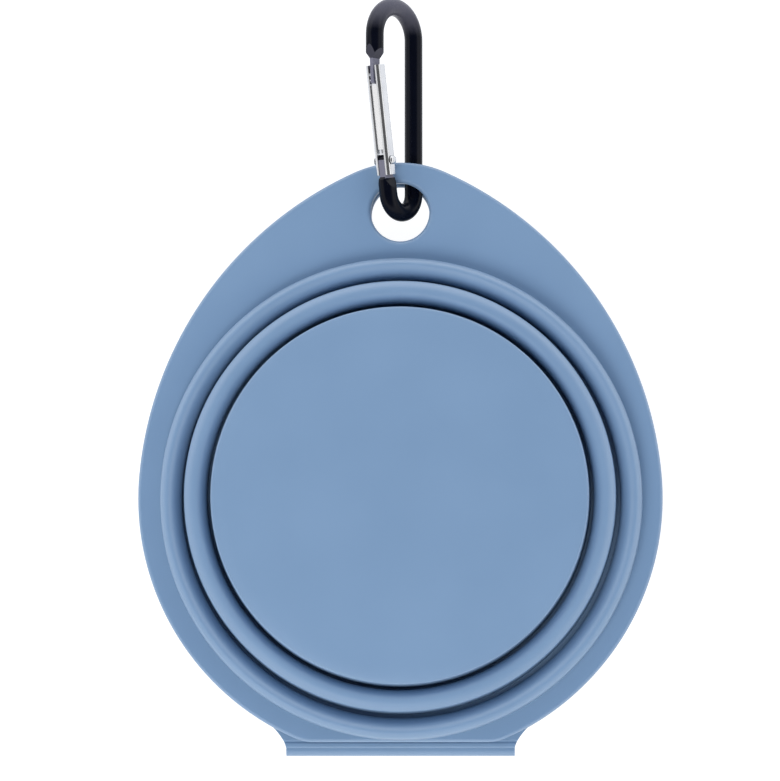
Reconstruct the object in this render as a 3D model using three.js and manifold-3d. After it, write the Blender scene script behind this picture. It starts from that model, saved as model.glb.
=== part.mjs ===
// Double folding bowl: two collapsible silicone bowls on one folding strip, shut and pressed flat,
// with a carabiner through the hole at the tip of the upper panel.
// Millimetres, +Z up. The lower bowl stands on z = 0 and its axis is the Z axis. The fold runs
// along X at the -Y end, and the tip with its hole and carabiner points along +Y.
import * as THREE from "three";
import { mergeVertices } from "three/addons/utils/BufferGeometryUtils.js";
import Module from "manifold-3d";

const wasm = await Module();
wasm.setup();

// Clearance that keeps neighbouring solids apart
const GAP = 0.3;
// Sides of every round section about a bowl's axis
const ROUND = 48;
// Sides of the hole, of small bores and of pins
const HOLE_SIDES = 32;
const BORE_SIDES = 20;
const PIN_SIDES = 16;
// Half the steps of each arc in an outline
const ARC_STEPS = 6;
// Half the steps of the fold's half round
const FOLD_STEPS = 12;
// Steps along the carabiner's rod and sides round it
const ROD_STEPS = 72;
const ROD_SIDES = 12;

// Radii of one bowl, from its axis
const BASE_RADIUS = 47; // base cup, outside, at its foot
const STAGE_STEP = 6.5; // from the outside of one wall to the outside of the next
const WALL_LEAN = 0.6; // each wall widens by this from its crest to its fold
const WALL = 2; // walls of cup, ring and rim
const WEB = 1.2; // thin webs that turn inside out
const WEB_LEAN = 1; // each web widens by this from its fold to its crest
const GROOVE = 0.4; // between the foot of a wall and the web beside it

// Heights of one bowl, measured outwards from the plane where the shut panels face each other
const PANEL_THICK = 2.9;
const BASE_RISE = 9.5; // base above the panel's outer face
const MIDDLE_RISE = 7; // crest of the middle ring above that face
const RIM_RISE = 5; // crest of the rim wall above that face
const FOLD_HEIGHT = 1.5; // underside of the web folds
const FOLD_CORNER = 0.4;
const BASE_THICK = 2.3;
const BASE_SHOULDER = 3.6; // rounded edge of the base, across
const BASE_DROP = 2.4; // rounded edge of the base, down
const SHELF_THICK = 1.5; // crest between a web and the wall outside it
const STUB = 2.3; // how far a crest turns down to meet its web
const CREST_DROP = 1.7; // rounded edges of a crest, down
const CREST_INSIDE = 0.38; // rounded inner edge, as a share of the crest's width
const MIDDLE_OUTSIDE = 0.38; // rounded outer edge of the middle ring's crest, likewise
const RIM_OUTSIDE = 0.49; // rounded outer edge of the rim's crest, likewise
const SHELF_FILLET = 0.3; // fillets under a crest, as a share of the space there

// Panel outline
const FLANGE = 5.3; // from the rim wall to the round edge of the panel
const TIP_REACH = 18.6; // tip beyond the round part
const TIP_RADIUS = 27.8;
const SIDE_START = THREE.MathUtils.degToRad(5); // where the round part runs into the long sides
const EDGE_ROUND = 0.8;
const HOLE_RADIUS = 7.3;
const HOLE_EDGE = 5.2; // silicone between the hole and the tip
const LIP_WIDTH = 3.2; // raised lip round the mouth
const LIP_ROUND = 0.6;

// Folding strip
const HINGE_MARGIN = 0.6; // from the rim wall to the panel's straight edge
const LEAF_LENGTH = 2.3; // thin leaf between that edge and the fold
const LEAF_THICK = 1.4;
const FOLD_OVERHANG = 4.1; // fold beyond each end of the panel's straight edge
const LEAF_FLARE = 5.5; // the leaf widens by this towards the panel, on each side
const LEAF_ROOT = 4.5; // how far the leaf reaches under the panel

// Carabiner, drawn in its own plane: across from the straight leg, and along that leg
const ROD_RADIUS = 2.25;
const ROD_ROOM = 0.5; // between the straight leg and each panel
const LOOP_LENGTH = 51.5; // middle of the lower bend to middle of the top bend
const LOOP_WIDTH = 15.4; // middle of the straight leg to middle of the nose leg
const ROLL = THREE.MathUtils.degToRad(52); // the loop's plane against the panels
const LEG_ROOM = 0.37; // between the short leg and the upper panel at the hole's edge
const NOSE_STRAIGHT = 3.9; // nose leg between the top bend and the taper
const NOSE_TAPER = 3.2;
const TAPER_RADIUS = 1.4; // round end of the taper
const HOOK_ROOT = 1; // how far the hook runs into the taper
const HOOK_BACK = 0.8; // hook behind the latch pin
const HOOK_FLOOR = 0.8; // hook below the latch pin
const TONGUE_THICK = 1.5; // flat hook and flat pivot tongue
const TONGUE_RADIUS = 1.5;
const TONGUE_SHOULDER = 1.4; // from the gate's lower end to the end of the round leg
const TONGUE_ROOT = 0.8; // how far the tongue runs into the round leg

// Gate, drawn along its own axis from the rivet
const GATE_DEPTH = 3.2; // across the loop
const GATE_RAIL = 1.15; // on each side of the slots
const CORNER_SHARE = 0.75; // rounded corners, as a share of a rail
const CORNER_STEPS = 5;
const GATE_BELOW = 2.8; // from the rivet to the lower end
const NOSE_GAP = 0.6; // between the gate's upper end and the taper
const CHANNEL_DEPTH = 0.4; // groove along the outer face
const SLOT_PLAY = 1.3; // lower slot beyond the tongue's round end
const RIVET_RADIUS = 0.7;
const RIVET_HEAD_RADIUS = 1.1;
const RIVET_HEAD = 0.6;
const RIVET_FLAT = 0.7; // flat end of the head, as a share of its radius
const LATCH_RADIUS = 0.5;
const LATCH_DROP = 3.1; // from the gate's upper end to the latch pin
const PLUNGER_RADIUS = 0.6;
const PLUNGER_LENGTH = 3;
const SPRING_WIRE = 0.14; // radius of the wire
const SPRING_CURLS = 7;
const SPRING_PITCH = 0.62;
const SPRING_STEPS = 8; // along each curl
const WIRE_STEPS = 3;

// Sizes that follow
const PANEL_SPACE = ROD_RADIUS + ROD_ROOM; // from the plane between the panels to each of them
const OUTER_FACE = PANEL_SPACE + PANEL_THICK;
const BASE_HEIGHT = OUTER_FACE + BASE_RISE;
const MIDDLE_HEIGHT = OUTER_FACE + MIDDLE_RISE;
const RIM_HEIGHT = OUTER_FACE + RIM_RISE;
const WALL_FOOT = FOLD_HEIGHT + WEB + GAP;
const MIDDLE_RADIUS = BASE_RADIUS + STAGE_STEP;
const RIM_RADIUS = MIDDLE_RADIUS + STAGE_STEP;
const ROUND_RADIUS = RIM_RADIUS + FLANGE;
const TIP = ROUND_RADIUS + TIP_REACH;
const HOLE_Y = TIP - HOLE_EDGE - HOLE_RADIUS;
const HINGE_EDGE = RIM_RADIUS + HINGE_MARGIN;
const FOLD_REACH = HINGE_EDGE + LEAF_LENGTH;
const FOLD_RADIUS = LEAF_THICK + GAP / 2;
const FOLD_HALF_WIDTH = Math.sqrt(ROUND_RADIUS ** 2 - HINGE_EDGE ** 2) + FOLD_OVERHANG;
const CROSSING = (PANEL_SPACE + PANEL_THICK / 2) / Math.sin(ROLL); // where the loop meets the panel
const PIVOT_ALONG = TIP - HOLE_Y;
const NOSE_ALONG = LOOP_LENGTH - LOOP_WIDTH / 2 - NOSE_STRAIGHT; // end of the round nose leg
const TAPER_END = NOSE_ALONG - NOSE_TAPER;
const LEG_ACROSS = (OUTER_FACE + ROD_RADIUS + LEG_ROOM) / Math.sin(ROLL); // short leg at the hole's edge
const GATE_LEAN = Math.atan2(LOOP_WIDTH - LEG_ACROSS, TAPER_END - PIVOT_ALONG + HOLE_EDGE);
const PIVOT_ACROSS = LEG_ACROSS + HOLE_EDGE * Math.tan(GATE_LEAN);
const BEND_RADIUS =
  (PIVOT_ACROSS * Math.cos(GATE_LEAN) - PIVOT_ALONG * Math.sin(GATE_LEAN)) /
  (1 + Math.cos(GATE_LEAN) - Math.sin(GATE_LEAN)); // touches the straight leg and the gate's axis
const SLOT_WIDTH = TONGUE_THICK + 2 * GAP;
const GATE_BREADTH = SLOT_WIDTH + 2 * GATE_RAIL; // along the rivet
const GATE_ABOVE = (TAPER_END - NOSE_GAP - PIVOT_ALONG) / Math.cos(GATE_LEAN); // rivet to upper end
const LATCH_ALONG = GATE_ABOVE - LATCH_DROP;
const LATCH_ROOM = LATCH_RADIUS + GAP;
const SLOT_TOP = LATCH_ALONG - LATCH_ROOM - HOOK_FLOOR - GAP; // floor of the upper slot
const SLOT_BOTTOM = TONGUE_RADIUS + SLOT_PLAY; // roof of the lower slot
const PLUNGER_START = TONGUE_RADIUS + GAP;
const SPRING_START = PLUNGER_START + PLUNGER_LENGTH + GAP + SPRING_WIRE;
const SPRING_LENGTH = SPRING_CURLS * SPRING_PITCH;
const BORE_END = SPRING_START + SPRING_LENGTH + SPRING_WIRE + GAP;

const silicone = () => new THREE.MeshStandardMaterial({ color: 0x7d9bbf, roughness: 0.6, metalness: 0 });
const blackMetal = () => new THREE.MeshStandardMaterial({ color: 0x0c0e13, roughness: 0.3, metalness: 0.4 });
const brightMetal = () => new THREE.MeshStandardMaterial({ color: 0xd6d8dc, roughness: 0.25, metalness: 1 });

// A closed geometry as a solid for joining and cutting
function solid(geometry) {
  const bare = new THREE.BufferGeometry();
  const loose = geometry.index ? geometry.toNonIndexed() : geometry;
  bare.setAttribute("position", loose.getAttribute("position"));
  const merged = mergeVertices(bare, 1e-4);
  return new wasm.Manifold(
    new wasm.Mesh({
      numProp: 3,
      vertProperties: merged.getAttribute("position").array,
      triVerts: new Uint32Array(merged.index.array),
    }),
  );
}

// A solid as a geometry again
function geometryOf(made) {
  const mesh = made.getMesh();
  const geometry = new THREE.BufferGeometry();
  geometry.setAttribute("position", new THREE.BufferAttribute(mesh.vertProperties, 3));
  geometry.setIndex(new THREE.BufferAttribute(mesh.triVerts, 1));
  const flat = geometry.toNonIndexed();
  flat.computeVertexNormals();
  return flat;
}

function piece(name, geometry, material) {
  const mesh = new THREE.Mesh(geometry, material);
  mesh.name = name;
  return mesh;
}

// A profile of [radius, height] points turned about Z. A ring's profile is closed on itself.
function turned(profile, closed, sides = ROUND) {
  const points = profile.map(([radius, height]) => new THREE.Vector2(radius, height));
  if (closed) points.push(points[0].clone());
  const geometry = new THREE.LatheGeometry(points, sides);
  geometry.rotateX(Math.PI / 2);
  return geometry;
}

// A flat outline in XY raised from one height to another
function raised(shape, low, high, edge = 0) {
  const geometry = new THREE.ExtrudeGeometry(shape, {
    depth: high - low - 2 * edge,
    bevelEnabled: edge > 0,
    bevelThickness: edge,
    bevelSize: edge,
    bevelOffset: -edge,
    bevelSegments: 2,
    curveSegments: ARC_STEPS,
  });
  geometry.translate(0, 0, low + edge);
  return geometry;
}

function round(radius, low, high, sides = ROUND) {
  const geometry = new THREE.CylinderGeometry(radius, radius, high - low, sides);
  geometry.rotateX(Math.PI / 2);
  geometry.translate(0, 0, (low + high) / 2);
  return geometry;
}

// Points of a quarter round from one end to the other, given its centre, radii and start angle
function quarter([radius, height], acrossRadius, alongRadius, from, to, steps = 3) {
  return Array.from({ length: steps + 1 }, (_, i) => {
    const angle = from + ((to - from) * i) / steps;
    return [radius + acrossRadius * Math.cos(angle), height + alongRadius * Math.sin(angle)];
  });
}

// Base cup: flat base with a broad rounded edge, and the wall that stands inside the middle ring
function baseCup() {
  const foot = BASE_RADIUS + WALL_LEAN;
  const floor = BASE_HEIGHT - BASE_THICK;
  const centre = [BASE_RADIUS - BASE_SHOULDER, BASE_HEIGHT - BASE_DROP];
  const edge = quarter(centre, BASE_SHOULDER, BASE_DROP, 0, Math.PI / 2, 4);
  return turned([
    [0, floor],
    [BASE_RADIUS - WALL - BASE_DROP, floor],
    [BASE_RADIUS - WALL, floor - BASE_DROP],
    [foot - WALL, WALL_FOOT],
    [foot, WALL_FOOT],
    ...edge,
    [0, BASE_HEIGHT],
  ]);
}

// Thin web between the foot of an inner wall and the crest of the next wall out
function web(innerRadius, crest) {
  const foot = innerRadius + WALL_LEAN;
  const near = foot + GROOVE;
  const top = crest - STUB - GAP;
  return turned(
    [
      [foot - WALL, FOLD_HEIGHT],
      [near + WEB - FOLD_CORNER, FOLD_HEIGHT],
      [near + WEB, FOLD_HEIGHT + FOLD_CORNER],
      [near + WEB + WEB_LEAN, top],
      [near + WEB_LEAN, top],
      [near, FOLD_HEIGHT + WEB],
      [foot - WALL, FOLD_HEIGHT + WEB],
    ],
    true,
  );
}

// Crest from its inner end, where the web meets it, over the shelf to the top of the outer wall
function crest(innerRadius, height, outsideShare) {
  const outer = innerRadius + STAGE_STEP;
  const near = innerRadius + WALL_LEAN + GROOVE + WEB_LEAN;
  const fillet = SHELF_FILLET * (outer - WALL - near - WEB);
  const inside = CREST_INSIDE * (outer - near);
  const outside = outsideShare * (outer - near);
  return [
    [outer - WALL, height - SHELF_THICK - fillet],
    [outer - WALL - fillet, height - SHELF_THICK],
    [near + WEB + fillet, height - SHELF_THICK],
    [near + WEB, height - STUB],
    [near, height - STUB],
    ...quarter([near + inside, height - CREST_DROP], inside, CREST_DROP, Math.PI, Math.PI / 2),
    ...quarter([outer - outside, height - CREST_DROP], outside, CREST_DROP, Math.PI / 2, 0),
  ];
}

function middleRing() {
  const foot = MIDDLE_RADIUS + WALL_LEAN;
  const top = crest(BASE_RADIUS, MIDDLE_HEIGHT, MIDDLE_OUTSIDE);
  return turned([[foot - WALL, WALL_FOOT], ...top, [foot, WALL_FOOT]].reverse(), true);
}

// Egg-shaped outline: a round part, two long sides tangent to it and a rounded tip. It is cut straight
// at the fold.
function panelOutline() {
  const tipCentre = TIP - TIP_RADIUS;
  const spread = ROUND_RADIUS - TIP_RADIUS;
  const offset = (tipCentre ** 2 - spread ** 2) / (2 * (spread - tipCentre * Math.sin(SIDE_START)));
  const sideRadius = ROUND_RADIUS + offset;
  const sideX = offset * Math.cos(SIDE_START);
  const sideY = -offset * Math.sin(SIDE_START);
  const tipAngle = Math.atan2(tipCentre - sideY, sideX);
  const hingeAngle = Math.asin(-HINGE_EDGE / ROUND_RADIUS);
  const shape = new THREE.Shape();
  shape.absarc(0, 0, ROUND_RADIUS, hingeAngle, SIDE_START, false);
  shape.absarc(-sideX, sideY, sideRadius, SIDE_START, tipAngle, false);
  shape.absarc(0, tipCentre, TIP_RADIUS, tipAngle, Math.PI - tipAngle, false);
  shape.absarc(sideX, sideY, sideRadius, Math.PI - tipAngle, Math.PI - SIDE_START, false);
  shape.absarc(0, 0, ROUND_RADIUS, Math.PI - SIDE_START, Math.PI - hingeAngle, false);
  shape.closePath();
  return shape;
}

// Leaf of the folding strip, with sides that flare out to the panel
function leafOutline() {
  const end = -(FOLD_REACH - GAP / 2);
  const root = -(HINGE_EDGE - LEAF_ROOT);
  const wide = FOLD_HALF_WIDTH + LEAF_FLARE;
  const shape = new THREE.Shape();
  shape.moveTo(-FOLD_HALF_WIDTH, end);
  shape.lineTo(FOLD_HALF_WIDTH, end);
  shape.quadraticCurveTo(FOLD_HALF_WIDTH, -HINGE_EDGE + GAP, wide, root);
  shape.lineTo(-wide, root);
  shape.quadraticCurveTo(-FOLD_HALF_WIDTH, -HINGE_EDGE + GAP, -FOLD_HALF_WIDTH, end);
  return shape;
}

// Panel with its rim wall, the raised lip round the mouth and the leaf of the folding strip
function panel() {
  const lipTop = GAP / 2;
  const inner = RIM_RADIUS - WALL;
  const lip = inner + LIP_WIDTH;
  const into = PANEL_SPACE + PANEL_THICK / 2;
  const rim = turned(
    [
      [inner, lipTop + LIP_ROUND],
      ...crest(MIDDLE_RADIUS, RIM_HEIGHT, RIM_OUTSIDE),
      [RIM_RADIUS + WALL_LEAN / 2, OUTER_FACE],
      [RIM_RADIUS + WALL_LEAN / 2, into],
      [lip, into],
      [lip, lipTop + LIP_ROUND],
      [lip - LIP_ROUND, lipTop],
      [inner + LIP_ROUND, lipTop],
    ].reverse(),
    true,
  );
  const outline = panelOutline();
  const mouth = solid(round(RIM_RADIUS - WALL / 2, -BASE_HEIGHT, BASE_HEIGHT));
  const hole = round(HOLE_RADIUS, -BASE_HEIGHT, BASE_HEIGHT, HOLE_SIDES);
  hole.translate(0, HOLE_Y, 0);
  const plate = solid(raised(outline, PANEL_SPACE, OUTER_FACE, EDGE_ROUND));
  const leaf = solid(raised(leafOutline(), lipTop, lipTop + LEAF_THICK));
  const riser = solid(raised(leafOutline(), lipTop, into)).intersect(solid(raised(outline, 0, OUTER_FACE)));
  const joined = plate.add(leaf).add(riser).subtract(mouth).add(solid(rim));
  return geometryOf(joined.subtract(solid(hole)));
}

// Rounded fold that joins the two leaves, a half round along X
function foldBead() {
  const shape = new THREE.Shape();
  shape.absarc(-GAP / 2, 0, FOLD_RADIUS, Math.PI / 2, (3 * Math.PI) / 2, false);
  shape.closePath();
  const geometry = new THREE.ExtrudeGeometry(shape, {
    depth: 2 * FOLD_HALF_WIDTH,
    bevelEnabled: false,
    curveSegments: FOLD_STEPS,
  });
  geometry.translate(0, 0, -FOLD_HALF_WIDTH);
  geometry.applyMatrix4(
    new THREE.Matrix4().makeBasis(
      new THREE.Vector3(0, 1, 0),
      new THREE.Vector3(0, 0, 1),
      new THREE.Vector3(1, 0, 0),
    ),
  );
  return geometry;
}

// Middle line of the carabiner's rod: from the nose round the top, down the straight leg and up to the pivot
function rodPath() {
  const topRadius = LOOP_WIDTH / 2;
  const topStart = LOOP_LENGTH - topRadius;
  const legEnd = GATE_BELOW + TONGUE_SHOULDER;
  const path = new THREE.Path();
  path.moveTo(LOOP_WIDTH, NOSE_ALONG);
  path.lineTo(LOOP_WIDTH, topStart);
  path.absarc(topRadius, topStart, topRadius, 0, Math.PI, false);
  path.lineTo(0, BEND_RADIUS);
  path.absarc(BEND_RADIUS, BEND_RADIUS, BEND_RADIUS, Math.PI, 2 * Math.PI - GATE_LEAN, false);
  path.lineTo(
    PIVOT_ACROSS - legEnd * Math.sin(GATE_LEAN),
    PIVOT_ALONG - legEnd * Math.cos(GATE_LEAN),
  );
  const points = path.getSpacedPoints(ROD_STEPS).map((point) => new THREE.Vector3(point.x, point.y, 0));
  return new THREE.CatmullRomCurve3(points);
}

function carabinerBody() {
  const section = new THREE.Shape();
  section.absarc(0, 0, ROD_RADIUS, 0, 2 * Math.PI, false);
  const rod = solid(
    new THREE.ExtrudeGeometry(section, {
      steps: ROD_STEPS,
      curveSegments: ROD_SIDES / 2,
      extrudePath: rodPath(),
    }),
  );
  // Nose: the rod tapers to a flat hook that reaches round the latch pin
  const taper = new THREE.CylinderGeometry(ROD_RADIUS, TAPER_RADIUS, NOSE_TAPER, ROD_SIDES);
  taper.translate(LOOP_WIDTH, NOSE_ALONG - NOSE_TAPER / 2, 0);
  const latchX = PIVOT_ACROSS + LATCH_ALONG * Math.sin(GATE_LEAN);
  const latchY = PIVOT_ALONG + LATCH_ALONG * Math.cos(GATE_LEAN);
  const front = latchX - LATCH_RADIUS;
  const back = latchX + LATCH_ROOM;
  const floor = latchY - LATCH_ROOM;
  const roof = latchY + LATCH_ROOM + GAP;
  const hook = new THREE.Shape();
  hook.moveTo(LOOP_WIDTH - TAPER_RADIUS, TAPER_END + HOOK_ROOT);
  hook.lineTo(LOOP_WIDTH - TAPER_RADIUS, roof);
  hook.lineTo(back, roof);
  hook.lineTo(back, floor);
  hook.lineTo(front, floor);
  hook.lineTo(front, floor - HOOK_FLOOR);
  hook.lineTo(back + HOOK_BACK, floor - HOOK_FLOOR);
  hook.lineTo(LOOP_WIDTH + TAPER_RADIUS, TAPER_END + HOOK_ROOT);
  // Pivot tongue: flat, with a round end about the rivet
  const tongue = new THREE.Shape();
  tongue.absarc(0, 0, TONGUE_RADIUS, 0, Math.PI, false);
  tongue.lineTo(-TONGUE_RADIUS, -GATE_BELOW - TONGUE_SHOULDER - TONGUE_ROOT);
  tongue.lineTo(TONGUE_RADIUS, -GATE_BELOW - TONGUE_SHOULDER - TONGUE_ROOT);
  const tongueBlock = raised(tongue, -TONGUE_THICK / 2, TONGUE_THICK / 2);
  const bore = round(RIVET_RADIUS + GAP, -TONGUE_THICK, TONGUE_THICK, BORE_SIDES);
  const tongueSolid = geometryOf(solid(tongueBlock).subtract(solid(bore)));
  tongueSolid.rotateZ(-GATE_LEAN);
  tongueSolid.translate(PIVOT_ACROSS, PIVOT_ALONG, 0);
  const joined = rod
    .add(solid(taper))
    .add(solid(raised(hook, -TONGUE_THICK / 2, TONGUE_THICK / 2)))
    .add(solid(tongueSolid));
  return geometryOf(joined);
}

// Gate: a bar with rounded corners and a shallow channel along its outer face. The slots at its ends
// take the hook and the tongue, and a bore holds the spring.
function gate() {
  const w = GATE_DEPTH / 2;
  const b = GATE_BREADTH / 2;
  const c = CORNER_SHARE * GATE_RAIL;
  const half = SLOT_WIDTH / 2;
  const section = new THREE.Shape();
  section.moveTo(-w + c, -b);
  section.lineTo(w - c, -b);
  section.absarc(w - c, -b + c, c, -Math.PI / 2, 0, false);
  section.lineTo(w, -half);
  section.lineTo(w - CHANNEL_DEPTH, -half);
  section.lineTo(w - CHANNEL_DEPTH, half);
  section.lineTo(w, half);
  section.absarc(w - c, b - c, c, 0, Math.PI / 2, false);
  section.lineTo(-w + c, b);
  section.absarc(-w + c, b - c, c, Math.PI / 2, Math.PI, false);
  section.absarc(-w + c, -b + c, c, Math.PI, (3 * Math.PI) / 2, false);
  const bar = new THREE.ExtrudeGeometry(section, {
    depth: GATE_ABOVE + GATE_BELOW,
    bevelEnabled: false,
    curveSegments: CORNER_STEPS,
  });
  bar.translate(0, 0, -GATE_BELOW);
  bar.rotateX(-Math.PI / 2);
  const slot = (low, high) => {
    const box = new THREE.BoxGeometry(2 * GATE_DEPTH, high - low, SLOT_WIDTH);
    box.translate(0, (low + high) / 2, 0);
    return solid(box);
  };
  const boreRadius = PLUNGER_RADIUS + GAP;
  const springBore = new THREE.CylinderGeometry(boreRadius, boreRadius, BORE_END, BORE_SIDES);
  springBore.translate(0, BORE_END / 2, 0);
  const rivetBore = round(RIVET_RADIUS + GAP, -GATE_BREADTH, GATE_BREADTH, BORE_SIDES);
  const latchBore = round(LATCH_ROOM, -GATE_BREADTH, GATE_BREADTH, BORE_SIDES);
  latchBore.translate(0, LATCH_ALONG, 0);
  return geometryOf(
    solid(bar)
      .subtract(slot(SLOT_TOP, 2 * GATE_ABOVE))
      .subtract(slot(-2 * GATE_BELOW, SLOT_BOTTOM))
      .subtract(solid(springBore))
      .subtract(solid(rivetBore))
      .subtract(solid(latchBore)),
  );
}

function rivet() {
  const head = GATE_BREADTH / 2 + GAP;
  const end = head + RIVET_HEAD;
  return turned(
    [
      [0, -end],
      [RIVET_HEAD_RADIUS * RIVET_FLAT, -end],
      [RIVET_HEAD_RADIUS, -head - RIVET_HEAD / 2],
      [RIVET_HEAD_RADIUS, -head],
      [RIVET_RADIUS, -head],
      [RIVET_RADIUS, head],
      [RIVET_HEAD_RADIUS, head],
      [RIVET_HEAD_RADIUS, head + RIVET_HEAD / 2],
      [RIVET_HEAD_RADIUS * RIVET_FLAT, end],
      [0, end],
    ],
    false,
    BORE_SIDES,
  );
}

function plunger() {
  const geometry = new THREE.CylinderGeometry(PLUNGER_RADIUS, PLUNGER_RADIUS, PLUNGER_LENGTH, PIN_SIDES);
  geometry.translate(0, PLUNGER_START + PLUNGER_LENGTH / 2, 0);
  return geometry;
}

class SpringLine extends THREE.Curve {
  getPoint(t, target = new THREE.Vector3()) {
    const angle = 2 * Math.PI * SPRING_CURLS * t;
    const radius = PLUNGER_RADIUS - SPRING_WIRE;
    const along = SPRING_START + SPRING_LENGTH * t;
    return target.set(radius * Math.cos(angle), along, radius * Math.sin(angle));
  }
}

function spring() {
  const wire = new THREE.Shape();
  wire.absarc(0, 0, SPRING_WIRE, 0, 2 * Math.PI, false);
  return new THREE.ExtrudeGeometry(wire, {
    steps: SPRING_STEPS * SPRING_CURLS,
    curveSegments: WIRE_STEPS,
    extrudePath: new SpringLine(),
  });
}

function latchPin() {
  return round(LATCH_RADIUS, -GATE_BREADTH / 2, GATE_BREADTH / 2, PIN_SIDES);
}

// The two bowls are alike: each is drawn outwards from the plane between the shut panels
function bowl(name, shapes) {
  const group = new THREE.Group();
  group.add(piece(`${name}_panel`, shapes.panel, silicone()));
  group.add(piece(`${name}_outer_web`, shapes.outerWeb, silicone()));
  group.add(piece(`${name}_middle_ring`, shapes.middleRing, silicone()));
  group.add(piece(`${name}_inner_web`, shapes.innerWeb, silicone()));
  group.add(piece(`${name}_base_cup`, shapes.baseCup, silicone()));
  return group;
}

const bowlShapes = {
  panel: panel(),
  outerWeb: web(MIDDLE_RADIUS, RIM_HEIGHT),
  middleRing: middleRing(),
  innerWeb: web(BASE_RADIUS, MIDDLE_HEIGHT),
  baseCup: baseCup(),
};

const doubleBowl = new THREE.Group();
doubleBowl.name = "double_folding_bowl";

const shut = new THREE.Group();
shut.position.z = BASE_HEIGHT;
doubleBowl.add(shut);

const upper = bowl("upper", bowlShapes);
const lower = bowl("lower", bowlShapes);
lower.rotation.y = Math.PI;
shut.add(upper, lower);

const fold = piece("hinge_fold", foldBead(), silicone());
fold.position.y = -FOLD_REACH;
shut.add(fold);

// The loop crosses the upper panel at the middle of its hole, with the straight leg between the panels
const carabiner = new THREE.Group();
carabiner.rotation.y = Math.PI + ROLL;
carabiner.position.set(CROSSING * Math.cos(ROLL), HOLE_Y, 0);
shut.add(carabiner);
carabiner.add(piece("carabiner_body", carabinerBody(), blackMetal()));

const gateFrame = new THREE.Group();
gateFrame.position.set(PIVOT_ACROSS, PIVOT_ALONG, 0);
gateFrame.rotation.z = -GATE_LEAN;
carabiner.add(gateFrame);
const latch = piece("latch_pin", latchPin(), brightMetal());
latch.position.y = LATCH_ALONG;
gateFrame.add(
  piece("gate", gate(), brightMetal()),
  piece("gate_rivet", rivet(), brightMetal()),
  piece("gate_plunger", plunger(), brightMetal()),
  piece("gate_spring", spring(), brightMetal()),
  latch,
);

export default doubleBowl;
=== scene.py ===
# %% [markdown]
# # A double folding bowl, shut and pressed flat
#
# Two collapsible silicone bowls sit on egg-shaped panels. A thin fold joins the panels along one
# edge, and a carabiner hangs in the hole at the other end. The bowls are soft and round, so nearly
# every piece starts as a drawn line that is spun about an axis. The carabiner is a bent rod with
# milled ends and a bright gate.
#
# The imported CAD model is the frame. Each new piece stands where a CAD node stands and hides that
# node, and each rigid piece moves with that node's body.

# %% Load the frame
import math

import bpy
from mathutils import Euler, Matrix, Vector


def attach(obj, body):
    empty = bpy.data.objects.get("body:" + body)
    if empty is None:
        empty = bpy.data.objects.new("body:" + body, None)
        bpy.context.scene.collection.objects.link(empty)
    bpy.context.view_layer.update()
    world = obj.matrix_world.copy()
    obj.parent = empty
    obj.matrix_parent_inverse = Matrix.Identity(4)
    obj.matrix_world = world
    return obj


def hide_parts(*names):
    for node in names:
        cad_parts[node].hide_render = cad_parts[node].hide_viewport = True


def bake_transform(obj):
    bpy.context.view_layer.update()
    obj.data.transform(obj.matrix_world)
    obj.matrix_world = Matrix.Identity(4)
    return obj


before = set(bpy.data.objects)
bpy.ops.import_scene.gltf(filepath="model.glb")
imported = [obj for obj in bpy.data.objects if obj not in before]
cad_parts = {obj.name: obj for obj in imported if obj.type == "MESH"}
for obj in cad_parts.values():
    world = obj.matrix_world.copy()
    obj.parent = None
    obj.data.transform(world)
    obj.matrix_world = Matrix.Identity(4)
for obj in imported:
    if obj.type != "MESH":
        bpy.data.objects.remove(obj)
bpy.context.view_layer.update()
MM = 0.001

# %% [markdown]
# ## Measures
#
# All sizes are in millimetres, as on a drawing, and are turned into metres where a piece is made.
# Heights of a bowl are counted outwards from the plane where the two shut panels face each other,
# and MID is that plane's height over the table. That way one drawing serves both bowls: the lower one
# is the upper one turned over.

# %% Sizes of one bowl
MID = 15.15
BASE_RADIUS, MIDDLE_RADIUS, RIM_RADIUS = 47, 53.5, 60
BASE_TOP, MIDDLE_TOP, RIM_TOP = 15.15, 12.65, 10.65
WALL, WALL_LEAN, FOOT_LEAN, FOOT_SUNK = 2, 0.6, 0.45, 0.2
WEB, WEB_LEAN, GROOVE, STUB = 1.2, 1, 0.4, 2.3
FOLD_LOW, FOLD_HIGH = 1.5, 2.7
PANEL_LOW, PANEL_HIGH = 2.75, 5.65
LIP_LOW, LIP_WIDTH = 0.15, 2.2
RIM_SHIFT = (0.25, -0.4, 0)
wall_foot = FOLD_HIGH - FOOT_SUNK
print("wall radii", BASE_RADIUS, MIDDLE_RADIUS, RIM_RADIUS)

# %% Sizes of the panel outline and the fold
ROUND_RADIUS, TIP, TIP_RADIUS = 65.3, 83.9, 27.8
SIDE_START = math.radians(5)
HINGE_EDGE, EDGE_CORNER, FOLD_REACH = 60.8, 11, 62.9
HOLE_Y, HOLE_RADIUS, HOLE_ROUND = 71.4, 7.3, 1.1
FOLD_HALF_WIDTH, LEAF_WIDE, LEAF_ROOT, LEAF_FLARE = 28.42, 32.66, 56.1, 1.55
LEAF_LOW, LEAF_HIGH, FOLD_RADIUS = 0.22, 2.3, 1.45
print("shut panels from", -FOLD_REACH, "to", TIP)

# %% [markdown]
# ## Ways of working
#
# A spun piece begins as one vertex. It is extruded from point to point along half of the cross
# section, its corners are rounded with a vertex bevel, and the spin operator carries the line once
# round the axis. A lathe curve or a screw modifier would give the same form. Drawing and spinning is
# chosen because each corner keeps its own radius and the result is an ordinary mesh at once.


# %% Start clean, choose by place
def start_clean():
    if bpy.context.mode != "OBJECT":
        bpy.ops.object.mode_set(mode="OBJECT")
    bpy.ops.object.select_all(action="DESELECT")


def only(piece):
    start_clean()
    piece.select_set(True)
    bpy.context.view_layer.objects.active = piece


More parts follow.
